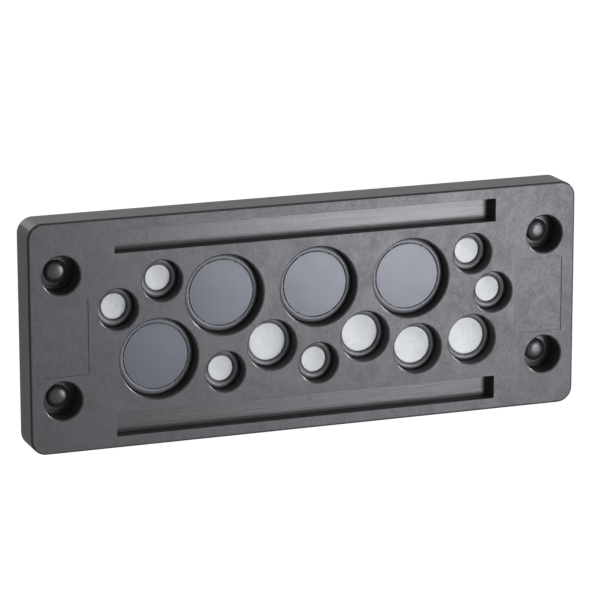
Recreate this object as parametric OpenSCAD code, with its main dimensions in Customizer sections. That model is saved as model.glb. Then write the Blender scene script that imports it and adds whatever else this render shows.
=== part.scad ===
// Cable entry plate for a rectangular panel cut-out, with soft sleeves in three sizes.
// Width along X, height along Z, front face towards -Y, panel plane at Y = 0.

/* [Plate] */
// Width of the plate
plate_w = 147; // [143:0.5:155]
// Height of the plate
plate_h = 59; // [57.5:0.5:66]
// Thickness of the plate in front of the panel
plate_t = 9.4; // [9.2:0.1:11]
// Radius of the plate's corners
corner_r = 4; // [2:0.1:6]
// Rounding of the front edge
edge_r = 0.6; // [0.3:0.1:1.2]
// Wall left at the front where the plate is cored from behind
skin = 2.6; // [2:0.1:3]
// Wall round the cored pockets at the plate's ends
core_wall = 2.4; // [1.8:0.1:2.8]
// Rib between the cored pockets at one end
core_rib = 1.6; // [1.2:0.1:2.4]

/* [Panel cut-out] */
// Width of the panel's cut-out
cutout_w = 112; // [111:0.5:114]
// Height of the panel's cut-out
cutout_h = 36; // [35.5:0.5:37]
// Gap between collar and cut-out on each side
cutout_gap = 0.25; // [0.15:0.05:0.4]
// Thickest panel that the snap lugs hold
panel_t = 2; // [1:0.1:2.5]
// Wall of the collar
collar_wall = 1.2; // [1:0.1:1.5]
// Length of the collar behind the panel plane
collar_l = 8; // [6.5:0.5:10]
// Corner radius of the collar
collar_r = 2.5; // [2:0.1:4]

/* [Snap arms] */
// Distance of the long sides' snap arms from the middle
arm_x = 30; // [24:1:38]
// Width of a snap arm on a long side
arm_w = 12; // [8:0.5:16]
// Width of a snap arm on a short side
end_arm_w = 9; // [6:0.5:12]
// Slot beside a snap arm
arm_slot = 1.2; // [0.8:0.1:1.6]
// How far a snap lug stands out from the collar
lug_out = 1.1; // [0.6:0.1:1.5]
// Play of the thickest panel under a snap lug
lug_play = 0.15; // [0.1:0.05:0.4]
// Flat crest of a snap lug
lug_crest = 0.7; // [0.4:0.1:1]
// Collar left whole at the root of a snap arm
slot_root = 0.8; // [0.5:0.1:1.2]

/* [Gasket] */
// Flat land between collar and gasket groove
gasket_land = 1.5; // [1.2:0.1:2]
// Width of the gasket groove
groove_w = 3; // [2.4:0.1:3.2]
// Depth of the gasket groove
groove_depth = 2; // [1.5:0.1:2.4]
// How far the gasket stands out of its groove
gasket_proud = 0.4; // [0.2:0.05:0.8]
// Gap between the gasket and each side of its groove
gasket_gap = 0.1; // [0.05:0.05:0.2]

/* [Screw holes] */
// Distance between screw holes along the width
screw_x = 130; // [129:0.5:132]
// Distance between screw holes along the height
screw_z = 32; // [30:0.5:34]
// Diameter of a screw hole
screw_hole = 5.5; // [4.5:0.1:6]
// Diameter of the well for the screw head
well_d = 9.9; // [9:0.1:10.5]
// Depth of the well from the front face
well_depth = 6.5; // [5.8:0.1:7]
// Diameter of the dome that closes a screw hole
dome_d = 4.7; // [4:0.1:5.2]
// Height of the dome above its foot
dome_h = 1.7; // [1.2:0.1:2]
// Thickness of the dome's foot
dome_foot = 0.6; // [0.4:0.1:0.8]
// Diameter of the fine ring round the dome
dome_ring = 6.6; // [6.2:0.1:7.2]
// Thickness of the fine ring round the dome
ring_t = 0.6; // [0.4:0.05:0.7]

/* [Front recesses] */
// Length of a long pocket
pocket_l = 102.4; // [90:0.2:108]
// Height of a long pocket
pocket_h = 6; // [4:0.1:6.4]
// Depth of a long pocket
pocket_depth = 4; // [2:0.1:4.5]
// Distance from the plate's edge to a long pocket
pocket_edge = 3; // [2:0.1:3.5]
// Width of a label field
label_w = 11.8; // [9:0.1:12]
// Height of a label field
label_h = 19.6; // [12:0.1:20]
// Distance from the plate's end to a label field
label_edge = 3.5; // [3:0.1:4]
// Depth of a label field
label_depth = 0.2; // [0.1:0.05:0.4]

/* [Small entries] */
// Bore of a small sleeve, for the thickest cable
small_bore = 6.5; // [6:0.1:6.8]
// Diameter of a small pit
small_pit = 10.5; // [10.3:0.1:11]
// Thinnest cable that a small nozzle seals
small_cable = 3; // [2.4:0.1:4]
// How much narrower than that cable the opening of a small nozzle is
small_grip = 0.8; // [0.7:0.05:1]
// Length of a small nozzle behind the panel plane
small_nozzle = 7; // [5:0.5:10]

/* [Medium entries] */
// Bore of a medium sleeve, for the thickest cable
medium_bore = 9.4; // [8.8:0.1:9.6]
// Diameter of a medium pit
medium_pit = 13; // [12.8:0.1:13.4]
// Thinnest cable that a medium nozzle seals
medium_cable = 5; // [4:0.1:6]
// How much narrower than that cable the opening of a medium nozzle is
medium_grip = 1.6; // [1.4:0.05:1.8]
// Length of a medium nozzle behind the panel plane
medium_nozzle = 8.5; // [6:0.5:12]

/* [Large entries] */
// Diameter of the disc that closes a large sleeve
large_bore = 16.8; // [16:0.1:17]
// Diameter of a large pit
large_pit = 20.6; // [20.2:0.1:20.8]
// Thinnest cable that a large nozzle seals
large_cable = 9.3; // [8:0.1:11]
// How much narrower than that cable the opening of a large nozzle is
large_grip = 0.2; // [0.1:0.05:0.3]
// Length of a large nozzle behind the panel plane
large_nozzle = 10.5; // [8:0.5:14]
// Depth of a large disc below the front face
disc_depth = 3; // [2.6:0.1:3.4]
// Thickness of a large disc
disc_t = 1.2; // [0.8:0.1:1.4]
// Number of nibs that hold a large disc
nib_count = 6; // [3:1:8]
// Width of a nib
nib_w = 0.4; // [0.3:0.05:0.8]

/* [Layout of the entries] */
// Distance of the middle column from the plate's centre
middle_x = 2.75; // [1.5:0.05:3.5]
// Distance between the columns of large entries
column_x = 25.15; // [24.8:0.05:25.5]
// Wall between two large pits
land_large = 2.4; // [2.2:0.05:2.8]
// Wall between pits in the middle of the field
land_middle = 2.15; // [2:0.05:2.3]
// Wall between pits at the ends of the field
land_end = 1.65; // [1.5:0.05:1.8]
// How far the small entry at the left end lies outside its large neighbour
left_lean = 10.55; // [10:0.05:11]
// How far the small entry at the right end lies outside its neighbours
right_lean = 5.85; // [5.5:0.05:6]

/* [Sleeves and plugs] */
// Depth of the plugs below the front face
plug_depth = 4.2; // [3.8:0.1:4.6]
// Depth of the ledge that carries a sleeve
ledge_depth = 5.2; // [5:0.1:5.4]
// Thickness of the ledge that carries a sleeve
ledge_t = 1.6; // [1.2:0.1:1.8]
// Width of the ledge that carries a sleeve
ledge_w = 1; // [0.9:0.05:1.1]
// Thickness of a sleeve's rear flange
flange_t = 1.2; // [0.8:0.1:1.3]
// Wall of a nozzle
nozzle_wall = 0.8; // [0.6:0.05:0.9]
// Play between a nozzle and the collar beside it
nozzle_play = 0.5; // [0.4:0.05:0.6]
// Gap between a bead and its plug or disc
bead_groove = 0.2; // [0.15:0.05:0.25]
// Gap between a bead and the wall of its pit
bead_gap = 0.1; // [0.05:0.05:0.2]
// Rounding of a plug's front edge
plug_edge = 0.2; // [0.15:0.05:0.4]
// Wall of a plug
plug_wall = 1.2; // [1:0.1:1.4]
// Height of the retaining ring on a plug
plug_ring = 0.2; // [0.15:0.05:0.25]
// Gap between a soft piece and what it sits in
soft_gap = 0.05; // [0.03:0.01:0.1]
// Wall round a pit where the plate is cored from behind
tube_wall = 1.4; // [1.2:0.1:1.6]
// Chamfer on the rims of pits and wells
rim_chamfer = 0.3; // [0.2:0.05:0.4]

/* [Hidden] */
$fn = 64;
eps = 0.01;
black = "#2e2d30";
soft_black = "#34353a";
light_grey = "#d2d6d8";

// Heights above the panel plane, measured towards the front
ledge_front = plate_t - ledge_depth;
ledge_back = ledge_front - ledge_t;
flange_back = ledge_back - flange_t;
plug_face = plate_t - plug_depth;
plug_back = ledge_back - soft_gap;
ring_low = ledge_back + ledge_t / 3;
ring_high = ledge_front - ledge_t / 6;
disc_face = plate_t - disc_depth;
well_floor = plate_t - well_depth;
core_top = plate_t - skin;

// The collar fits the cut-out, and the rows of pits fit between its long sides
collar_w = cutout_w - 2 * cutout_gap;
collar_h = cutout_h - 2 * cutout_gap;
inner_w = collar_w - 2 * collar_wall;
inner_h = collar_h - 2 * collar_wall;
inner_r = collar_r - collar_wall;
lug_face = panel_t + lug_play;

// The gasket runs round the collar
groove_in_w = collar_w + 2 * gasket_land;
groove_in_h = collar_h + 2 * gasket_land;
groove_in_r = collar_r + gasket_land;

// Cored pockets behind the label fields, one on each side of a rib
core_in = groove_in_w / 2 + groove_w + core_wall;
core_out = plate_w / 2 - core_wall;
core_h = screw_z - well_d - 2 * core_wall;

// Entry sizes: 0 is small, 1 is medium and 2 is large
bores = [small_bore, medium_bore, large_bore];
pits = [small_pit, medium_pit, large_pit];
cables = [small_cable, medium_cable, large_cable];
grips = [small_grip, medium_grip, large_grip];
nozzles = [small_nozzle, medium_nozzle, large_nozzle];
function bore_r(k) = bores[k] / 2;
function pit_r(k) = pits[k] / 2;
function waist_r(k) = pit_r(k) - ledge_w;
function flange_r(k) = pit_r(k) - ledge_w / 2;
function nozzle_r(k) = pit_r(k) - collar_wall - nozzle_play;
function tip_r(k) = (cables[k] - grips[k]) / 2;

// Rows of entries along the long edges of the collar
function row_z(k) = collar_h / 2 - pit_r(k);
// The other leg of a step from one pit to its neighbour
function step(k, m, land, leg) = sqrt(pow(pit_r(k) + pit_r(m) + land, 2) - pow(leg, 2));

large_2 = [middle_x - column_x, row_z(2)];
large_3 = [middle_x, row_z(2)];
large_4 = [middle_x + column_x, row_z(2)];
large_1 = [large_2.x - step(2, 2, land_large, 2 * row_z(2)), -row_z(2)];

small_1 = large_1 + [-left_lean, step(0, 2, land_end, left_lean)];
small_2 = [large_2.x - step(0, 2, land_end, row_z(0) - row_z(2)), row_z(0)];
small_3 = [large_2.x, -row_z(0)];
small_4 = [large_3.x, -row_z(0)];
small_5 = [large_4.x + step(0, 2, land_middle, row_z(0) - row_z(2)), row_z(0)];
small_6 = small_5 + [right_lean, -step(0, 0, land_end, right_lean)];

medium_z = row_z(2) - step(1, 2, land_middle, column_x / 2);
medium_1 = [middle_x - column_x / 2, medium_z];
medium_2 = [middle_x + column_x / 2, medium_z];
medium_3 = [medium_2.x + step(1, 1, land_middle, row_z(1) + medium_z), -row_z(1)];
medium_4 = small_6 + [-right_lean, -step(0, 1, land_end, right_lean)];

entries_at = [
    [small_1, small_2, small_3, small_4, small_5, small_6],
    [medium_1, medium_2, medium_3, medium_4],
    [large_1, large_2, large_3, large_4]
];
screw_at = [for (z = [1, -1], x = [-1, 1]) [x * screw_x / 2, z * screw_z / 2]];

// A narrower cut-out has room for fewer entries: those whose nozzles pass through the collar
function inside(k, place) = abs(place.x) + nozzle_r(k) + soft_gap <= inner_w / 2;
function numbers(k) = [for (i = [0:len(entries_at[k]) - 1]) if (inside(k, entries_at[k][i])) i];
small = numbers(0);
medium = numbers(1);
large = numbers(2);
screws = [for (i = [0:len(screw_at) - 1]) i];

function names(word, picks) = [for (i = picks) str(word, "_", i + 1)];

// Everything is drawn with the front face up, then stood on edge
module upright() {
    rotate([90, 0, 0]) children();
}

module at(place, z = 0) {
    translate([place.x, place.y, z]) children();
}

// Outlines and sweeps
module round_rect(w, h, r) {
    square([w - 2 * r, h], center = true);
    square([w, h - 2 * r], center = true);
    for (x = [-1, 1], y = [-1, 1])
        translate([x * (w / 2 - r), y * (h / 2 - r)]) circle(r);
}

// Carries a profile round a rectangle with round corners; its x starts at the corner's axis
module sweep_round(w, h, r) {
    long = w - 2 * r;
    high = h - 2 * r;
    for (turn = [0, 180]) rotate([0, 0, turn]) {
        translate([-long / 2, high / 2, 0]) rotate([90, 0, 90]) linear_extrude(long) children();
        translate([long / 2, high / 2, 0]) rotate([90, 0, 0]) linear_extrude(high) children();
        translate([long / 2, high / 2, 0]) rotate_extrude(angle = 90) children();
        translate([long / 2, -high / 2, 0]) rotate([0, 0, -90]) rotate_extrude(angle = 90) children();
    }
}

// A cut with a chamfered rim at the front face
module rimmed_hole(r, depth) {
    translate([0, 0, plate_t - depth]) cylinder(r = r, h = depth + eps);
    translate([0, 0, plate_t - rim_chamfer])
        cylinder(r1 = r, r2 = r + rim_chamfer + eps, h = rim_chamfer + eps);
}

// Black moulded frame
module plate_body() {
    sweep_round(plate_w, plate_h, corner_r) {
        union() {
            square([corner_r, plate_t - edge_r]);
            square([corner_r - edge_r, plate_t]);
            translate([corner_r - edge_r, plate_t - edge_r]) circle(edge_r);
        }
    }
    translate([corner_r - plate_w / 2, corner_r - plate_h / 2, 0])
        cube([plate_w - 2 * corner_r, plate_h - 2 * corner_r, plate_t]);
}

module lug(w) {
    rotate([90, 0, 90]) translate([0, 0, -w / 2]) linear_extrude(w)
        polygon([
            [-collar_wall / 2, -lug_face],
            [lug_out, -lug_face],
            [lug_out, -lug_face - lug_crest],
            [0, -collar_l],
            [-collar_wall / 2, -collar_l]
        ]);
}

module arm_slots(w) {
    for (side = [-1, 1])
        translate([side * (w + arm_slot) / 2 - arm_slot / 2, -2 * collar_wall, -collar_l - eps])
            cube([arm_slot, 4 * collar_wall, collar_l - slot_root + eps]);
}

// Places a thing on the outside of the collar at each snap arm
module at_long_arms() {
    for (turn = [0, 180], x = [-arm_x, arm_x])
        rotate([0, 0, turn]) translate([x, collar_h / 2, 0]) children();
}

module at_end_arms() {
    for (turn = [90, -90])
        rotate([0, 0, turn]) translate([0, collar_w / 2, 0]) children();
}

module collar() {
    difference() {
        translate([0, 0, -collar_l]) linear_extrude(collar_l + ledge_back)
            round_rect(collar_w, collar_h, collar_r);
        at_long_arms() arm_slots(arm_w);
        at_end_arms() arm_slots(end_arm_w);
    }
    at_long_arms() lug(arm_w);
    at_end_arms() lug(end_arm_w);
}

// The space inside the collar, and the cored space between the pits' tubes
module field_core() {
    translate([0, 0, -collar_l - eps])
        linear_extrude(collar_l + ledge_back + eps) round_rect(inner_w, inner_h, inner_r);
    difference() {
        translate([0, 0, ledge_back - eps])
            linear_extrude(core_top - ledge_back + eps) round_rect(inner_w, inner_h, inner_r);
        for (k = [0:2], i = numbers(k))
            at(entries_at[k][i], -eps) cylinder(r = pit_r(k) + tube_wall, h = plate_t);
    }
}

module entry_cuts() {
    for (k = [0:2], i = numbers(k)) at(entries_at[k][i]) {
        rimmed_hole(pit_r(k), ledge_depth);
        translate([0, 0, ledge_back - eps]) cylinder(r = waist_r(k) + soft_gap, h = ledge_t + 2 * eps);
        translate([0, 0, flange_back - soft_gap])
            cylinder(r = flange_r(k) + soft_gap, h = flange_t + soft_gap);
    }
}

module screw_cuts() {
    for (place = screw_at) at(place) {
        rimmed_hole(well_d / 2, well_depth);
        translate([0, 0, -eps]) cylinder(d = screw_hole, h = well_floor + 2 * eps);
    }
}

module recess(w, h, depth) {
    translate([-w / 2, -h / 2, plate_t - depth]) cube([w, h, depth + eps]);
}

module front_recesses() {
    for (side = [-1, 1]) {
        translate([0, side * (plate_h / 2 - pocket_edge - pocket_h / 2)])
            recess(pocket_l, pocket_h, pocket_depth);
        translate([side * (plate_w / 2 - label_edge - label_w / 2), 0])
            recess(label_w, label_h, label_depth);
    }
}

module end_core() {
    for (side = [-1, 1], half = [-1, 1])
        translate([
            side * (core_in + core_out) / 2 - (core_out - core_in) / 2,
            half * (core_h + core_rib) / 4 - (core_h - core_rib) / 4,
            -eps
        ])
            cube([core_out - core_in, (core_h - core_rib) / 2, core_top + eps]);
}

module gasket_groove() {
    sweep_round(groove_in_w, groove_in_h, groove_in_r)
        translate([groove_in_r, -eps]) square([groove_w, groove_depth + eps]);
}

module frame() color(black) upright() difference() {
    union() {
        plate_body();
        collar();
    }
    field_core();
    entry_cuts();
    screw_cuts();
    front_recesses();
    end_core();
    gasket_groove();
}

// Soft ring with a rounded crown in the frame's rear groove
module panel_gasket() color(soft_black) upright() {
    half = groove_w / 2 - gasket_gap;
    sweep_round(groove_in_w, groove_in_h, groove_in_r)
        translate([groove_in_r + groove_w / 2, 0]) {
            translate([-half, 0]) square([2 * half, groove_depth]);
            intersection() {
                translate([0, (half * half - gasket_proud * gasket_proud) / (2 * gasket_proud)])
                    circle((half * half + gasket_proud * gasket_proud) / (2 * gasket_proud), $fn = 128);
                translate([-half, -gasket_proud]) square([2 * half, gasket_proud + eps]);
            }
        }
}

// Half of a dome's section from a height up
module dome_cap(ball_r, dome_r, low) {
    intersection() {
        translate([0, dome_foot + dome_h - ball_r]) circle(ball_r);
        translate([0, low]) square([dome_r, dome_h + eps]);
    }
}

// Soft dome that closes a screw hole
module screw_seal(i) color(soft_black) upright() at(screw_at[i], well_floor) rotate_extrude() {
    dome_r = dome_d / 2;
    ball_r = (dome_r * dome_r + dome_h * dome_h) / (2 * dome_h);
    difference() {
        union() {
            square([well_d / 2 - 2 * soft_gap, dome_foot]);
            dome_cap(ball_r, dome_r, dome_foot - eps);
            translate([dome_ring / 2, dome_foot]) intersection() {
                circle(d = ring_t, $fn = 32);
                translate([-ring_t / 2, -ring_t / 4]) square(ring_t);
            }
        }
        translate([0, -eps]) square([dome_r - dome_foot, dome_foot + eps]);
    }
}

// The part of a sleeve behind its bead: neck, waist, rear flange and nozzle
module sleeve_tail(k, inner_r, neck_top) {
    polygon([
        [inner_r, plug_back - soft_gap],
        [nozzle_r(k) - nozzle_wall, flange_back],
        [tip_r(k), -nozzles[k]],
        [tip_r(k) + nozzle_wall, -nozzles[k]],
        [nozzle_r(k), flange_back],
        [flange_r(k), flange_back],
        [flange_r(k), ledge_back],
        [waist_r(k), ledge_back],
        [waist_r(k), neck_top],
        [inner_r, neck_top]
    ]);
}

// Large sleeve closed by a disc on nibs
module large_membrane(i) color(soft_black) upright() at(entries_at[2][i]) {
    disc_r = bore_r(2);
    rim_in = disc_r + bead_groove;
    rim_out = pit_r(2) - bead_gap;
    rim_round = 0.5 * (rim_out - rim_in);
    disc_back = disc_face - disc_t;
    groove_floor = disc_back + disc_t / 2;
    rotate_extrude($fn = 96) {
        translate([0, disc_back]) square([disc_r, disc_t]);
        translate([0, disc_back]) square([waist_r(2), groove_floor - disc_back]);
        translate([rim_in, ledge_front]) square([rim_out - rim_in, disc_face - rim_round - ledge_front]);
        translate([rim_in, ledge_front]) square([rim_out - rim_round - rim_in, disc_face - ledge_front]);
        translate([rim_out - rim_round, disc_face - rim_round]) intersection() {
            circle(rim_round);
            square(rim_round);
        }
        sleeve_tail(2, waist_r(2) - nozzle_wall, groove_floor);
    }
    for (turn = [0:nib_count - 1])
        rotate([0, 0, 360 * turn / nib_count])
            translate([disc_r - nib_w, -nib_w / 2, disc_back + disc_t / 4])
                cube([bead_groove + 2 * nib_w, nib_w, disc_t * 3 / 4 - nib_w / 4]);
}

// Small or medium sleeve: bead in the pit, groove for the plug's ring, nozzle behind
module sleeve(k, i) color(soft_black) upright() at(entries_at[k][i]) rotate_extrude() {
    bead_r = (pit_r(k) - bore_r(k) - bead_groove - bead_gap) / 2;
    bead_x = bore_r(k) + bead_groove + bead_r;
    throat = ledge_front + (plug_face - ledge_front) / 3;
    difference() {
        union() {
            intersection() {
                translate([bead_x, plug_face - bead_r]) circle(bead_r);
                translate([bead_x - bead_r, ledge_front]) square(2 * bead_r);
            }
            sleeve_tail(k, bore_r(k), throat);
        }
        translate([0, ring_low - soft_gap])
            square([bore_r(k) + plug_ring + soft_gap, ring_high - ring_low + 2 * soft_gap]);
    }
}

// Light-grey plug that closes a sleeve
module plug(k, i) color(light_grey) upright() at(entries_at[k][i]) rotate_extrude() {
    plug_r = bore_r(k) - soft_gap;
    difference() {
        union() {
            translate([0, plug_back]) square([plug_r, plug_face - plug_edge - plug_back]);
            translate([0, plug_back]) square([plug_r - plug_edge, plug_face - plug_back]);
            translate([plug_r - plug_edge, plug_face - plug_edge]) circle(plug_edge, $fn = 32);
            translate([0, ring_low]) square([bore_r(k) + plug_ring, ring_high - ring_low]);
        }
        translate([0, plug_back - eps]) square([plug_r - plug_wall, plug_face - plug_wall - plug_back + eps]);
    }
}

frame();
panel_gasket();
for (i = screws)
    screw_seal(i);
for (i = large)
    large_membrane(i);
for (i = medium)
    sleeve(1, i);
for (i = medium)
    plug(1, i);
for (i = small)
    sleeve(0, i);
for (i = small)
    plug(0, i);
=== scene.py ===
import math

import bmesh
import bpy
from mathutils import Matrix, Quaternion, Vector


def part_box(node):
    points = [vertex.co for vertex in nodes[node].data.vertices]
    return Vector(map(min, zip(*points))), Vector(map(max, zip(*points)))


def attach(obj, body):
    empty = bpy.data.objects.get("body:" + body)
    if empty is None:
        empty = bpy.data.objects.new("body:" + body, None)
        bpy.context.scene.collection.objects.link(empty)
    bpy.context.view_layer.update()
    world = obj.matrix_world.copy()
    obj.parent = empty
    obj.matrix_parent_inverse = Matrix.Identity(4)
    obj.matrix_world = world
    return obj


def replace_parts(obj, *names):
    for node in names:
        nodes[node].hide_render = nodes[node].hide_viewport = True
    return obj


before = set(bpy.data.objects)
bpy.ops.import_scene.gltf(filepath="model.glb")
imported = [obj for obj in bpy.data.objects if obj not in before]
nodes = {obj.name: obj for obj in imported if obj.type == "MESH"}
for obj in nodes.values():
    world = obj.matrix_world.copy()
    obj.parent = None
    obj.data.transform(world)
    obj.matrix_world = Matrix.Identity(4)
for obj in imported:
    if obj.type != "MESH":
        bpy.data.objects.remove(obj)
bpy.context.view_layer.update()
scene = bpy.context.scene
MM = 0.001


def link(obj):
    scene.collection.objects.link(obj)
    return obj


# Camera at the photograph's viewing angle
CAMERA_AT = Vector((-0.30835, -0.83785, 0.22296))
CAMERA_AIM = Vector((-0.00239, -0.0094, 0.00442))
CAMERA_ROLL = math.radians(0.14)
CAMERA_LENS, CAMERA_SENSOR = 216.0, 36.0
CAMERA_NEAR, CAMERA_FAR = 0.05, 20.0

camera = link(bpy.data.objects.new("camera", bpy.data.cameras.new("camera")))
camera.data.sensor_width = CAMERA_SENSOR
camera.data.lens = CAMERA_LENS
camera.data.clip_start = CAMERA_NEAR
camera.data.clip_end = CAMERA_FAR
view_line = (CAMERA_AIM - CAMERA_AT).normalized()
level = view_line.to_track_quat("-Z", "Y")
camera.rotation_mode = "QUATERNION"
camera.location = CAMERA_AT
camera.rotation_quaternion = Quaternion(view_line, CAMERA_ROLL) @ level
scene.camera = camera


# Helpers for node materials
class Shader:
    """A material's node tree with short calls to add and wire nodes."""

    def __init__(self, name):
        self.material = bpy.data.materials.new(name)
        self.material.use_nodes = True
        self.tree = self.material.node_tree
        self.bsdf = self.tree.nodes["Principled BSDF"]

    def add(self, kind, **settings):
        made = self.tree.nodes.new("ShaderNode" + kind)
        for key, value in settings.items():
            setattr(made, key, value)
        return made

    def wire(self, source, target):
        self.tree.links.new(source, target)

    def feed(self, socket, value):
        if isinstance(value, bpy.types.NodeSocket):
            self.wire(value, socket)
        else:
            socket.default_value = value

    def set(self, socket, value):
        """Gives the surface shader a constant or a wired value."""
        self.feed(self.bsdf.inputs[socket], value)

    def math(self, operation, a, b=0.0, clamp=False):
        made = self.add("Math", operation=operation, use_clamp=clamp)
        self.feed(made.inputs[0], a)
        self.feed(made.inputs[1], b)
        return made.outputs[0]

    def absolute(self, value):
        return self.math("ABSOLUTE", value)

    def product(self, first, second):
        return self.math("MULTIPLY", first, second)

    def total(self, *shares):
        """Sum of values, each times its share."""
        result = None
        for value, share in shares:
            part = self.product(value, share)
            result = part if result is None else self.math("ADD", result, part)
        return result

    def coords(self, space="Object"):
        return self.add("TexCoord").outputs[space]

    def split(self, vector):
        made = self.add("SeparateXYZ")
        self.wire(vector, made.inputs[0])
        return made.outputs

    def facing(self):
        """The surface's direction, as X, Y and Z."""
        return self.split(self.add("NewGeometry").outputs["Normal"])

    def scaled(self, vector, factors):
        made = self.add("VectorMath", operation="MULTIPLY")
        self.wire(vector, made.inputs[0])
        made.inputs[1].default_value = factors
        return made.outputs[0]

    def noise(self, vector, scale, detail=3.0, rough=0.5, distort=0.0):
        made = self.add("TexNoise")
        self.wire(vector, made.inputs["Vector"])
        made.inputs["Scale"].default_value = scale
        made.inputs["Detail"].default_value = detail
        made.inputs["Roughness"].default_value = rough
        made.inputs["Distortion"].default_value = distort
        return made.outputs["Fac"]

    def ranged(self, value, span, to=(0.0, 1.0)):
        """Maps a span of values to another range, and stops at its ends."""
        made = self.add("MapRange")
        self.wire(value, made.inputs["Value"])
        sockets = ("From Min", "From Max", "To Min", "To Max")
        for socket, number in zip(sockets, (*span, *to)):
            made.inputs[socket].default_value = number
        return made.outputs["Result"]

    def between(self, value, low, high):
        above = self.math("GREATER_THAN", value, low)
        return self.product(above, self.math("LESS_THAN", value, high))

    def mixed(self, factor, first, second):
        """Mix of two colours."""
        made = self.add("Mix", data_type="RGBA")
        self.feed(made.inputs["Factor"], factor)
        for socket, value in (("A", first), ("B", second)):
            self.feed([s for s in made.inputs if s.name == socket and s.type == "RGBA"][0], value)
        return [s for s in made.outputs if s.type == "RGBA"][0]

    def blended(self, factor, first, second):
        """Mix of two wired numbers."""
        made = self.add("Mix", data_type="FLOAT")
        sockets = made.inputs[:1] + made.inputs[2:4]
        for socket, value in zip(sockets, (factor, first, second)):
            self.wire(value, socket)
        return made.outputs[0]

    def bump(self, height, distance, strength=1.0, normal=None):
        made = self.add("Bump")
        self.wire(height, made.inputs["Height"])
        made.inputs["Distance"].default_value = distance
        made.inputs["Strength"].default_value = strength
        if normal is not None:
            self.wire(normal, made.inputs["Normal"])
        return made.outputs["Normal"]

    def from_axis(self):
        """Distance from the piece's middle axis, as a share of its width."""
        centred = self.add("VectorMath", operation="SUBTRACT")
        self.wire(self.coords("Generated"), centred.inputs[0])
        centred.inputs[1].default_value = (0.5, 0.5, 0.5)
        reach = self.add("VectorMath", operation="LENGTH")
        self.wire(self.scaled(centred.outputs[0], (1.0, 0.0, 1.0)), reach.inputs[0])
        return reach.outputs["Value"]

    def soft_edges(self, radius):
        made = self.add("Bevel", samples=4)
        made.inputs["Radius"].default_value = radius
        return made.outputs["Normal"]


# Spans of a noise that are spread over a material's range
NOISE_SPAN, MID_SPAN = (0.3, 0.7), (0.35, 0.65)

# Black moulded plastic of the frame: mottled front, streaked sides, smooth pocket floors
FRAME_DARK = (0.012, 0.0085, 0.0110, 1.0)
FRAME_PALE = (0.045, 0.0375, 0.0430, 1.0)
POCKET_TONE = (0.046, 0.0430, 0.0440, 1.0)
SIDE_DARK = (0.038, 0.0350, 0.0375, 1.0)
SIDE_PALE = (0.048, 0.0445, 0.0475, 1.0)
# Darker tone for the inner walls of holes and pits: painted shade in the recesses
PAINTED_HOLE_SHADE = (0.013, 0.0120, 0.0125, 1.0)
# Near-black tone for the insert hairlines, and painted shade on the outer front edge's fillet
HAIRLINE_AND_EDGE_SHADE = (0.008, 0.0075, 0.0080, 1.0)
PIN_TONE = (0.022, 0.0200, 0.0210, 1.0)
MOTTLE_TONES, MOTTLE_SPAN = (0.42, 0.58), (0.40, 0.60)
FACE_ROUGH, BLOOM_ROUGH, POCKET_ROUGH = (0.400, 0.320), (-0.03, 0.03), (0.29, 0.24)
SIDE_ROUGH, TOP_ROUGH, EDGE_ROUGH = (0.77, 0.71), (0.610, 0.550), 0.9
STEEP = 0.6
EDGE_FACING = (0.3, 0.94)
INNER_X, INNER_Z = 72.3 * MM, 28.3 * MM
INSERT_X, INSERT_HALF, HAIRLINE_HALF = 56.9 * MM, 11.0 * MM, 0.08 * MM
PIN_MARKS = [(-41.6, 23.0), (43.8, 23.0), (-42.0, -23.0), (1.6, -22.2)]
PIN_SPAN, PIN_FADE = (0.75 * MM, 1.1 * MM), (0.75, 0.0)
POCKET_HALF_L = 51.1 * MM
POCKET_LOW, POCKET_HIGH = 20.55 * MM, 26.45 * MM
POCKET_FLOOR, POCKET_BAND = -5.4 * MM, 0.2 * MM


def insert_lines(s, wide, high):
    """Hairlines where the mould's label inserts end, beside the entry field."""
    along = s.math("LESS_THAN", high, INSERT_HALF)
    off = s.absolute(s.math("SUBTRACT", wide, INSERT_X))
    return s.product(along, s.math("LESS_THAN", off, HAIRLINE_HALF))


def pin_marks(s, at):
    """Faint round marks that ejector pins left on the pocket floors."""
    flat = s.scaled(at, (1.0, 0.0, 1.0))
    marks = None
    for x, z in PIN_MARKS:
        away = s.add("VectorMath", operation="DISTANCE")
        s.wire(flat, away.inputs[0])
        away.inputs[1].default_value = (x * MM, 0.0, z * MM)
        mark = s.ranged(away.outputs["Value"], PIN_SPAN, PIN_FADE)
        marks = mark if marks is None else s.math("MAXIMUM", marks, mark)
    return marks


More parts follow.
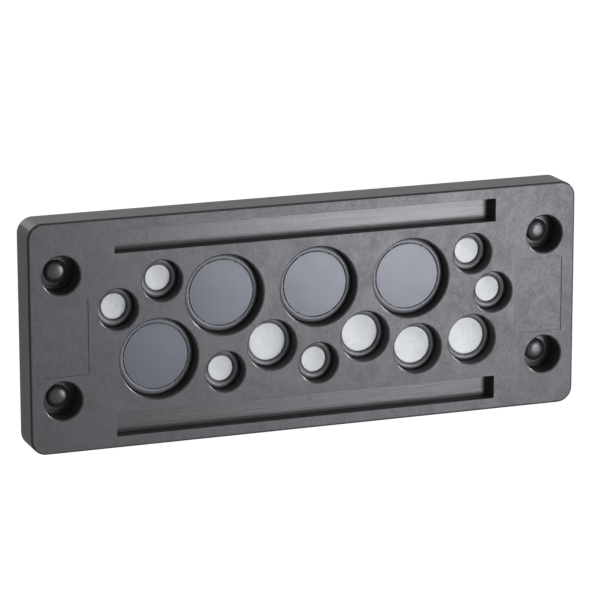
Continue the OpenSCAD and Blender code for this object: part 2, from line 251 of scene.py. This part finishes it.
def frame_plastic():
    s = Shader("frame_plastic")
    at = s.coords()
    parts = s.split(at)
    wide, high = s.absolute(parts["X"]), s.absolute(parts["Z"])
    in_length = s.math("LESS_THAN", wide, POCKET_HALF_L)
    in_height = s.between(high, POCKET_LOW, POCKET_HIGH)
    on_floor = s.between(parts["Y"], POCKET_FLOOR - POCKET_BAND, POCKET_FLOOR + POCKET_BAND)
    pocket = s.product(s.product(in_length, in_height), on_floor)

    blotch = s.noise(at, scale=150.0, detail=5.0, rough=0.62, distort=1.2)
    drawn = s.scaled(at, (1.0, 1.0, 0.5))
    flow = s.noise(drawn, scale=620.0, detail=4.0, rough=0.65, distort=0.8)
    speck = s.noise(at, scale=1900.0, detail=3.0, rough=0.6)
    bloom = s.noise(at, scale=70.0, detail=3.0, rough=0.55, distort=1.0)
    sides = s.noise(s.scaled(at, (40.0, 1900.0, 40.0)), scale=1.0, detail=3.0, rough=0.6)
    streak = s.noise(s.scaled(at, (60.0, 60.0, 1500.0)), scale=1.0, detail=3.0, rough=0.55)
    grain = s.noise(at, scale=4200.0, detail=2.0, rough=0.5)

    facing = s.facing()
    front = s.absolute(facing["Y"])
    upright = s.math("LESS_THAN", front, STEEP)
    top = s.math("GREATER_THAN", facing["Z"], STEEP)
    outside = s.math(
        "MAXIMUM", s.math("GREATER_THAN", wide, INNER_X), s.math("GREATER_THAN", high, INNER_Z))
    # Outer front edge's fillet: painted shade for the dark line along the front edge
    edge = s.product(s.between(front, *EDGE_FACING), outside)

    mottle = s.total((blotch, 0.34), (flow, 0.26), (speck, 0.40))
    tone = s.mixed(s.ranged(mottle, MOTTLE_TONES), FRAME_DARK, FRAME_PALE)
    tone = s.mixed(insert_lines(s, wide, high), tone, HAIRLINE_AND_EDGE_SHADE)
    tone = s.mixed(pocket, tone, s.mixed(pin_marks(s, at), POCKET_TONE, PIN_TONE))
    wall = s.mixed(s.ranged(sides, MID_SPAN), SIDE_DARK, SIDE_PALE)
    # Inner walls of holes and pits get the darker tone, painted shade
    wall = s.mixed(outside, PAINTED_HOLE_SHADE, wall)
    tone = s.mixed(upright, tone, wall)
    s.set("Base Color", s.mixed(edge, tone, HAIRLINE_AND_EDGE_SHADE))

    mottled = s.ranged(mottle, MOTTLE_SPAN, FACE_ROUGH)
    dull = s.math("ADD", mottled, s.ranged(bloom, NOISE_SPAN, BLOOM_ROUGH))
    rough = s.blended(pocket, dull, s.ranged(streak, NOISE_SPAN, POCKET_ROUGH))
    side_rough = s.ranged(sides, NOISE_SPAN, SIDE_ROUGH)
    wall_rough = s.blended(top, side_rough, s.ranged(sides, NOISE_SPAN, TOP_ROUGH))
    rough = s.blended(upright, rough, wall_rough)
    s.set("Roughness", s.math("MAXIMUM", rough, s.product(edge, EDGE_ROUGH)))

    side_lines, pocket_lines = s.product(sides, upright), s.product(streak, pocket)
    height = s.total(
        (flow, 0.55), (speck, 0.30), (grain, 0.16), (side_lines, 0.22), (pocket_lines, 0.3))
    edges = s.soft_edges(0.12 * MM)
    s.set("Normal", s.bump(height, distance=0.05 * MM, strength=0.8, normal=edges))
    s.set("IOR", 1.52)
    return s.material


# Soft dark plastic of membranes, sleeves and screw seals
# Flat front faces of the soft parts keep a bluish tone that is partly their own colour and partly
# a painted reflection of the bluish strip lamp; slopes take the lighter neutral sleeve tone
SOFT_DARK = (0.082, 0.093, 0.119, 1.0)
SOFT_PALE = (0.090, 0.101, 0.128, 1.0)
SLEEVE_DARK = (0.142, 0.143, 0.150, 1.0)
SLEEVE_PALE = (0.154, 0.155, 0.163, 1.0)
SEAL_DARK = (0.011, 0.011, 0.012, 1.0)
SEAL_PALE = (0.016, 0.016, 0.017, 1.0)
SKIRT_TONE = (0.125, 0.122, 0.126, 1.0)
GLOSS_SPREAD = 0.008
FLAT_FACING = 0.995
FLANK_FROM, SKIRT_FROM, FLANK_SHARE = 0.19, 0.33, 0.5
# Painted highlight on the edges of the skirt's steps: where it starts, its pitch and its strength
STEP_FROM, STEP_PITCH, STEP_SHARE = 0.3413, 134.6, 0.45


def slopes(s):
    """Faces that don't lie flat to the front, which lose the bluish tone that partly paints a
    reflection.
    """
    return s.math("LESS_THAN", s.absolute(s.facing()["Y"]), FLAT_FACING)


def skirt(s):
    """The foot of a screw seal, outside its dome, in a lighter tone, with a painted highlight on
    the edges of its steps.
    """
    away = s.from_axis()
    steps = s.math("SINE", s.product(s.math("SUBTRACT", away, STEP_FROM), STEP_PITCH))
    outer = s.math("GREATER_THAN", away, SKIRT_FROM)
    # Painted highlight along the step edges
    painted_step_highlight = s.product(s.product(steps, outer), STEP_SHARE)
    flank = s.ranged(away, (FLANK_FROM, SKIRT_FROM), (0.0, FLANK_SHARE))
    return s.math("ADD", flank, painted_step_highlight, clamp=True)


def soft_moulding(name, dark, pale, rough, where=None, other=None, duller=0.0):
    """Soft plastic. Faces that where picks have the other tone and are duller."""
    s = Shader(name)
    at = s.coords()
    cloud = s.noise(at, scale=180.0, detail=2.0, rough=0.45, distort=0.2)
    grain = s.noise(at, scale=5200.0, detail=2.0, rough=0.5)
    tone = s.mixed(s.ranged(cloud, MID_SPAN), dark, pale)
    gloss = s.ranged(cloud, NOISE_SPAN, (rough + GLOSS_SPREAD, rough - GLOSS_SPREAD))
    if where:
        picked = where(s)
        tone = s.mixed(picked, tone, other)
        gloss = s.math("ADD", gloss, s.product(picked, duller))
    s.set("Base Color", tone)
    s.set("Roughness", gloss)
    edges = s.soft_edges(0.06 * MM)
    s.set("Normal", s.bump(grain, distance=0.003 * MM, strength=0.5, normal=edges))
    s.set("IOR", 1.5)
    return s.material


# Rubber of the panel gasket
GASKET_DARK = (0.022, 0.022, 0.023, 1.0)
GASKET_PALE = (0.032, 0.032, 0.033, 1.0)
GASKET_ROUGH = (0.62, 0.74)


def gasket_rubber():
    s = Shader("gasket_rubber")
    dust = s.noise(s.coords(), scale=900.0, detail=4.0, rough=0.6)
    s.set("Base Color", s.mixed(s.ranged(dust, MID_SPAN), GASKET_DARK, GASKET_PALE))
    s.set("Roughness", s.ranged(dust, NOISE_SPAN, GASKET_ROUGH))
    s.set("Normal", s.bump(dust, distance=0.02 * MM, strength=0.5))
    return s.material


# Light-grey plastic of the plugs, with faint turned rings
PLUG_DARK = (0.78, 0.800, 0.790, 1.0)
PLUG_PALE = (0.85, 0.865, 0.855, 1.0)
PLUG_ROUGH = (0.46, 0.38)
RING_PITCH = 62.0


def plug_plastic():
    s = Shader("plug_plastic")
    rings = s.math("SINE", s.product(s.from_axis(), RING_PITCH))
    cloud = s.noise(s.coords(), scale=500.0, detail=3.0, rough=0.5)
    s.set("Base Color", s.mixed(s.ranged(cloud, NOISE_SPAN), PLUG_DARK, PLUG_PALE))
    s.set("Roughness", s.ranged(cloud, NOISE_SPAN, PLUG_ROUGH))
    height = s.total((rings, 0.15), (cloud, 0.5))
    edges = s.soft_edges(0.08 * MM)
    s.set("Normal", s.bump(height, distance=0.02 * MM, strength=0.5, normal=edges))
    s.set("IOR", 1.5)
    return s.material


# Shapes turned round an entry's axis, from corners given as radius, height and round in mm
SEGMENTS, DISC_SEGMENTS = 96, 128
ARC_STEPS = 5
ARC_LIMIT, ARC_HOLD = 0.42, 1.15
MERGE_WITHIN, SLIVER_WITHIN = 1e-6, 1e-7
CREASE = math.radians(32.0)


def rounded(corners):
    """Closed section, with an arc at each corner that gives a round and a point held beside it."""
    section = []
    for i, (r, h, size) in enumerate(corners):
        here = Vector((r, h))
        before = Vector(corners[i - 1][:2]) - here
        after = Vector(corners[(i + 1) % len(corners)][:2]) - here
        if not size:
            section.append(here)
            continue
        reach_in = min(size, ARC_LIMIT * before.length)
        reach_out = min(size, ARC_LIMIT * after.length)
        start = here + before.normalized() * reach_in
        end = here + after.normalized() * reach_out
        section.append(here + before.normalized() * ARC_HOLD * reach_in)
        for step in range(ARC_STEPS + 1):
            t = step / ARC_STEPS
            section.append(start * (1 - t) ** 2 + here * (2 * t * (1 - t)) + end * t ** 2)
        section.append(here + after.normalized() * ARC_HOLD * reach_out)
    return section


def join_rings(bm, rings):
    """Faces between neighbouring rings of points, closed from the last ring to the first."""
    for ring, beside in zip(rings, rings[1:] + rings[:1]):
        for i in range(len(ring)):
            j = (i + 1) % len(ring)
            bm.faces.new((ring[i], ring[j], beside[j], beside[i]))


def turn_into(bm, place, section, segments=SEGMENTS):
    """Adds a section turned round the axis through place; heights run towards the front."""
    rings = []
    for k in range(segments):
        turn = 2 * math.pi * k / segments
        rings.append([
            bm.verts.new((
                (place[0] + p.x * math.cos(turn)) * MM, -p.y * MM,
                (place[1] + p.x * math.sin(turn)) * MM))
            for p in section])
    join_rings(bm, rings)


def finished(name, bm, look):
    """Closes the mesh, shades it and lets it ride on the plate."""
    bmesh.ops.remove_doubles(bm, verts=bm.verts, dist=MERGE_WITHIN)
    bmesh.ops.dissolve_degenerate(bm, edges=bm.edges, dist=SLIVER_WITHIN)
    bmesh.ops.recalc_face_normals(bm, faces=bm.faces)
    mesh = bpy.data.meshes.new(name)
    bm.to_mesh(mesh)
    bm.free()
    mesh.polygons.foreach_set("use_smooth", [True] * len(mesh.polygons))
    mesh.set_sharp_from_angle(angle=CREASE)
    mesh.materials.append(look)
    piece = link(bpy.data.objects.new(name, mesh))
    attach(piece, "root")
    return piece


def turned(name, place, corners, look, more=()):
    bm = bmesh.new()
    turn_into(bm, place, rounded(corners))
    for section in more:
        turn_into(bm, place, rounded(section))
    return finished(name, bm, look)


looks = {
    "frame": frame_plastic(),
    "panel_gasket": gasket_rubber(),
    "plug": plug_plastic(),
    "soft": soft_moulding(
        "soft_moulding", SOFT_DARK, SOFT_PALE, rough=0.288,
        where=slopes, other=SLEEVE_PALE, duller=0.17),
    "sleeve": soft_moulding("soft_sleeve", SLEEVE_DARK, SLEEVE_PALE, rough=0.32),
    "seal": soft_moulding(
        "soft_seal", SEAL_DARK, SEAL_PALE, rough=0.27, where=skirt, other=SKIRT_TONE),
}


def look_of(name):
    if name in looks:
        return looks[name]
    return looks["plug"] if "plug" in name else looks["soft"]


for name, obj in nodes.items():
    obj.data.materials.clear()
    obj.data.materials.append(look_of(name))


def centre_of(node):
    low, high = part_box(node)
    return (low[0] + high[0]) / 2 / MM, (low[2] + high[2]) / 2 / MM


# Small and medium sleeves: a full bead that fills the pit round the plug, waist, flange and nozzle
LEDGE_FRONT, LEDGE_BACK, LEDGE_GAP = 4.2, 2.58, 0.02
FLANGE_BACK = 1.4
SEAT = LEDGE_FRONT + LEDGE_GAP
BORE_BACK, GROOVE_BACK, GROOVE_FRONT, LIP_FRONT = 2.5, 3.08, 3.98, 4.7
NOZZLE_WALL = 0.8
BEAD_FOOT, BEAD_RISE, BEAD_STEPS = 5.2, 0.65, 16
SLEEVES = {
    "small": {"bore": 3.25, "pit": 5.25, "tip": 1.1, "nozzle": 7.0, "head": 3.27, "count": 6},
    "medium": {"bore": 4.7, "pit": 6.5, "tip": 1.7, "nozzle": 8.5, "head": 4.82, "count": 4},
}


def sleeve_section(bore, pit, tip, nozzle):
    outer, waist, flange, root = pit - 0.1, pit - 1.0, pit - 0.5, pit - 1.7
    inner = bore + 0.3
    bead = []
    for step in range(1, BEAD_STEPS):
        turn = math.pi * step / BEAD_STEPS
        bead.append((
            (inner + outer - (outer - inner) * math.cos(turn)) / 2,
            BEAD_FOOT + BEAD_RISE * math.sin(turn), 0))
    return [
        (tip, -nozzle, 0.15), (root - NOZZLE_WALL, FLANGE_BACK, 0.3), (bore, BORE_BACK, 0.1),
        (bore, GROOVE_BACK, 0), (bore + 0.25, GROOVE_BACK, 0), (bore + 0.25, GROOVE_FRONT, 0),
        (bore + 0.05, GROOVE_FRONT, 0), (bore + 0.05, LIP_FRONT, 0.05),
        (bore + 0.22, LIP_FRONT, 0.05), (inner, BEAD_FOOT, 0), *bead, (outer, BEAD_FOOT, 0),
        (outer, SEAT, 0.15), (waist, SEAT, 0), (waist, LEDGE_BACK, 0), (flange, LEDGE_BACK, 0.15),
        (flange, FLANGE_BACK, 0.25), (root, FLANGE_BACK, 0.3), (tip + NOZZLE_WALL, -nozzle, 0.25),
    ]


for word, size in SLEEVES.items():
    section = sleeve_section(size["bore"], size["pit"], size["tip"], size["nozzle"])
    for i in range(1, size["count"] + 1):
        node = f"{word}_sleeve_{i}"
        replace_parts(turned(f"{node}_soft", centre_of(node), section, looks["sleeve"]), node)

# Plugs: a broad flat head over the sleeve's lip, with a raised gate ring, and a ring that holds
GATE_IN, GATE_OUT, GATE_FOOT, GATE_TOP = 0.86, 1.0, 5.0, 5.19
GATE = [
    (GATE_IN, GATE_FOOT, 0), (GATE_IN, GATE_TOP, 0.03),
    (GATE_OUT, GATE_TOP, 0.03), (GATE_OUT, GATE_FOOT, 0),
]
PLUG_BACK, STEM_GAP, HOLD_OUT = 2.56, 0.05, 0.2
for word, size in SLEEVES.items():
    bore, head = size["bore"], size["head"]
    stem, hold = bore - STEM_GAP, bore + HOLD_OUT
    section = [
        (0.0, 5.14, 0), (head - 0.5, 5.2, 0.3), (head, 5.18, 0.16), (head, 4.76, 0.05),
        (stem, 4.72, 0), (stem, 3.9, 0), (hold, 3.75, 0.05), (hold, 3.3, 0.05), (stem, 3.14, 0),
        (stem, PLUG_BACK, 0.2), (0.0, PLUG_BACK, 0),
    ]
    for i in range(1, size["count"] + 1):
        node = f"{word}_plug_{i}"
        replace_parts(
            turned(f"{node}_head", centre_of(node), section, looks["plug"], [GATE]), node)

# Large membranes: crowned disc hung on six nibs across a ring groove, full rim, nozzle behind
LARGE_COUNT = 4
DISC_FACE, DISC_BACK, GROOVE_FLOOR = 6.4, 5.2, 5.8
DISC_R, RIM_IN, RIM_OUT = 8.4, 8.6, 10.2
DISC_SAG, DISC_STEPS = 0.05, 5
RIM_CURVE = [
    (RIM_IN, 6.3), (8.72, 6.37), (9.0, 6.4), (9.3, 6.38), (9.6, 6.28), (9.84, 6.1), (10.03, 5.83),
    (10.15, 5.5), (RIM_OUT, 5.1),
]
WAIST_R, FLANGE_R, HOLLOW_R = 9.3, 9.8, 8.5
NOZZLE_END, NOZZLE_OUT, NOZZLE_IN = -10.5, 5.35, 4.55
MEMBRANE = [
    (DISC_R * k / DISC_STEPS, DISC_FACE - DISC_SAG * (k / DISC_STEPS) ** 2, 0)
    for k in range(DISC_STEPS)]
MEMBRANE += [
    (DISC_R, DISC_FACE - DISC_SAG, 0.07), (DISC_R, GROOVE_FLOOR, 0.03),
    (RIM_IN, GROOVE_FLOOR, 0.03), *((r, h, 0) for r, h in RIM_CURVE), (RIM_OUT, SEAT, 0.15),
    (WAIST_R, SEAT, 0), (WAIST_R, LEDGE_BACK, 0), (FLANGE_R, LEDGE_BACK, 0.15),
    (FLANGE_R, FLANGE_BACK, 0.25), (8.6, FLANGE_BACK, 0.3), (NOZZLE_OUT, NOZZLE_END, 0.25),
    (NOZZLE_IN, NOZZLE_END, 0.15), (7.8, FLANGE_BACK, 0.4), (HOLLOW_R, BORE_BACK, 0.2),
    (HOLLOW_R, DISC_BACK, 0.3), (0.0, DISC_BACK, 0),
]
NIBS, NIB_OVERLAP = 6, 0.12
NIB_SECTION = (
    (-0.26, 5.6), (-0.26, 6.22), (-0.15, 6.34), (0.15, 6.34), (0.26, 6.22), (0.26, 5.6))


def add_nib(bm, place, turn):
    """A small rounded bridge across the groove."""
    along = Vector((math.cos(turn), 0, math.sin(turn)))
    across = Vector((-math.sin(turn), 0, math.cos(turn)))
    out = Vector((0, -1, 0))
    centre = Vector((place[0], 0, place[1]))
    ends = []
    for r in (DISC_R - NIB_OVERLAP, RIM_IN + NIB_OVERLAP):
        ends.append([
            bm.verts.new((centre + along * r + across * w + out * h) * MM)
            for w, h in NIB_SECTION])
    for i in range(len(NIB_SECTION)):
        j = (i + 1) % len(NIB_SECTION)
        bm.faces.new((ends[0][i], ends[0][j], ends[1][j], ends[1][i]))
    bm.faces.new(ends[0])
    bm.faces.new(list(reversed(ends[1])))


for i in range(1, LARGE_COUNT + 1):
    node = f"large_membrane_{i}"
    bm = bmesh.new()
    turn_into(bm, centre_of(node), rounded(MEMBRANE), DISC_SEGMENTS)
    for k in range(NIBS):
        add_nib(bm, centre_of(node), 2 * math.pi * k / NIBS)
    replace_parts(finished(f"{node}_soft", bm, looks["soft"]), node)

# Screw seals: a full dome on a stepped skirt
SEAL_COUNT = 4
DOME_R, DOME_FOOT, DOME_RISE, DOME_STEPS = 2.95, 4.0, 1.2, 14
SEAL_R, SEAL_BACK, SEAL_HOLE, SEAL_ROOF = 4.82, 2.93, 1.75, 3.5
SEAL = []
for k in range(DOME_STEPS + 1):
    across = math.sin(math.pi / 2 * k / DOME_STEPS)
    SEAL.append((DOME_R * across, DOME_FOOT + DOME_RISE * math.sqrt(1 - across ** 3), 0))
SEAL += [
    (3.0, 3.88, 0.04), (3.4, 3.86, 0.1), (3.44, 3.68, 0.04), (3.86, 3.66, 0.1), (3.9, 3.5, 0.04),
    (SEAL_R, 3.45, 0.1), (SEAL_R, SEAL_BACK, 0), (SEAL_HOLE, SEAL_BACK, 0),
    (SEAL_HOLE, SEAL_ROOF, 0), (0.0, SEAL_ROOF, 0),
]
for i in range(1, SEAL_COUNT + 1):
    node = f"screw_seal_{i}"
    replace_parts(turned(f"{node}_soft", centre_of(node), SEAL, looks["seal"]), node)

# Panel gasket: a crowned strip swept along the groove behind the plate
GASKET_LONG, GASKET_HIGH, GASKET_R = 53.25, 15.25, 5.5
GASKET_HALF, GASKET_ROOT, GASKET_PROUD, GASKET_SHOULDER = 1.38, 1.98, 0.38, 0.1
CROWN_STEPS, CROWN_SHARE = 8, 0.96
CORNER_STEPS = 16
strip = [(-GASKET_HALF, GASKET_ROOT, 0.15), (-GASKET_HALF, GASKET_SHOULDER, 0.05)]
for k in range(-CROWN_STEPS, CROWN_STEPS + 1):
    across = CROWN_SHARE * k / CROWN_STEPS
    strip.append((GASKET_HALF * across, -GASKET_PROUD * (1 - across * across), 0))
strip += [(GASKET_HALF, GASKET_SHOULDER, 0.05), (GASKET_HALF, GASKET_ROOT, 0.15)]
strip = rounded(strip)

bm = bmesh.new()
rings = []
for quarter, (sx, sz) in enumerate(((1, 1), (-1, 1), (-1, -1), (1, -1))):
    for step in range(CORNER_STEPS + 1):
        turn = math.pi / 2 * (quarter + step / CORNER_STEPS)
        rings.append([
            bm.verts.new((
                (sx * GASKET_LONG + (GASKET_R + p.x) * math.cos(turn)) * MM, -p.y * MM,
                (sz * GASKET_HIGH + (GASKET_R + p.x) * math.sin(turn)) * MM))
            for p in strip])
join_rings(bm, rings)
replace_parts(finished("panel_gasket_soft", bm, looks["panel_gasket"]), "panel_gasket")


# Floor far below the hanging plate, seen as white
FLOOR_Z, FLOOR_HALF = -0.55, 6.0
FLOOR_DARK = (0.78, 0.78, 0.78, 1.0)
FLOOR_PALE = (0.82, 0.82, 0.82, 1.0)
FLOOR_GLOW = 0.93
WHITE = (1.0, 1.0, 1.0, 1.0)

floor_mesh = bpy.data.meshes.new("floor")
corners = [
    (x * FLOOR_HALF, y * FLOOR_HALF, FLOOR_Z) for x, y in ((-1, -1), (1, -1), (1, 1), (-1, 1))]
floor_mesh.from_pydata(corners, [], [(0, 1, 2, 3)])
floor = link(bpy.data.objects.new("floor", floor_mesh))


def floor_paint():
    s = Shader("floor_paint")
    s.set("Roughness", 0.8)
    spots = s.noise(s.coords(), scale=3.0, detail=3.0, rough=0.5)
    s.set("Base Color", s.mixed(spots, FLOOR_DARK, FLOOR_PALE))
    s.set("Emission Color", WHITE)
    path = s.add("LightPath").outputs
    seen = s.math("MAXIMUM", path["Is Camera Ray"], path["Is Glossy Ray"])
    seen = s.math("MAXIMUM", seen, path["Is Transmission Ray"])
    s.set("Emission Strength", s.product(seen, FLOOR_GLOW))
    return s.material


floor_mesh.materials.append(floor_paint())

# World: dim studio light, white to the camera and in reflections
WORLD_LIGHT = 0.08
WORLD_TINT = (0.97, 0.98, 1.0, 1.0)
world = bpy.data.worlds.new("studio")
scene.world = world
world.use_nodes = True
tree = world.node_tree
tree.nodes.clear()
path = tree.nodes.new("ShaderNodeLightPath")
light = tree.nodes.new("ShaderNodeBackground")
light.inputs["Color"].default_value = WORLD_TINT
light.inputs["Strength"].default_value = WORLD_LIGHT
white = tree.nodes.new("ShaderNodeBackground")
white.inputs["Color"].default_value = WHITE
white.inputs["Strength"].default_value = 1.0
pick = tree.nodes.new("ShaderNodeMixShader")
seen = tree.nodes.new("ShaderNodeMath")
seen.operation = "MAXIMUM"
also = tree.nodes.new("ShaderNodeMath")
also.operation = "MAXIMUM"
out = tree.nodes.new("ShaderNodeOutputWorld")
tree.links.new(path.outputs["Is Camera Ray"], seen.inputs[0])
tree.links.new(path.outputs["Is Glossy Ray"], seen.inputs[1])
tree.links.new(seen.outputs[0], also.inputs[0])
tree.links.new(path.outputs["Is Transmission Ray"], also.inputs[1])
tree.links.new(also.outputs[0], pick.inputs["Fac"])
tree.links.new(light.outputs[0], pick.inputs[1])
tree.links.new(white.outputs[0], pick.inputs[2])
tree.links.new(pick.outputs[0], out.inputs["Surface"])

# Soft boxes: name, place, width, height, power and colour, all aimed at the plate's front
LAMP_AIM = Vector((0.0, -0.009, 0.0))
LAMPS = [
    ("strip", (0.2357, -0.4953, -0.0397), 0.149, 0.225, 1.38, (0.965, 0.985, 1.07)),
    ("key", (0.453, -0.437, 0.307), 0.35, 0.35, 1.73, (1.0, 0.99, 1.01)),
    ("edge", (0.80, -0.06, 0.28), 0.1, 0.1, 5.0, (1.0, 1.0, 1.0)),
    ("rear", (-0.30, 0.70, 0.35), 0.4, 0.4, 2.0, (1.0, 1.0, 1.0)),
]
for name, at, wide, high, power, colour in LAMPS:
    data = bpy.data.lights.new(name, "AREA")
    data.shape = "RECTANGLE"
    data.size = wide
    data.size_y = high
    data.energy = power
    data.color = colour
    lamp = link(bpy.data.objects.new(name, data))
    lamp.location = at
    lamp.rotation_mode = "QUATERNION"
    lamp.rotation_quaternion = (LAMP_AIM - Vector(at)).to_track_quat("-Z", "Y")

scene.view_settings.view_transform = "Standard"
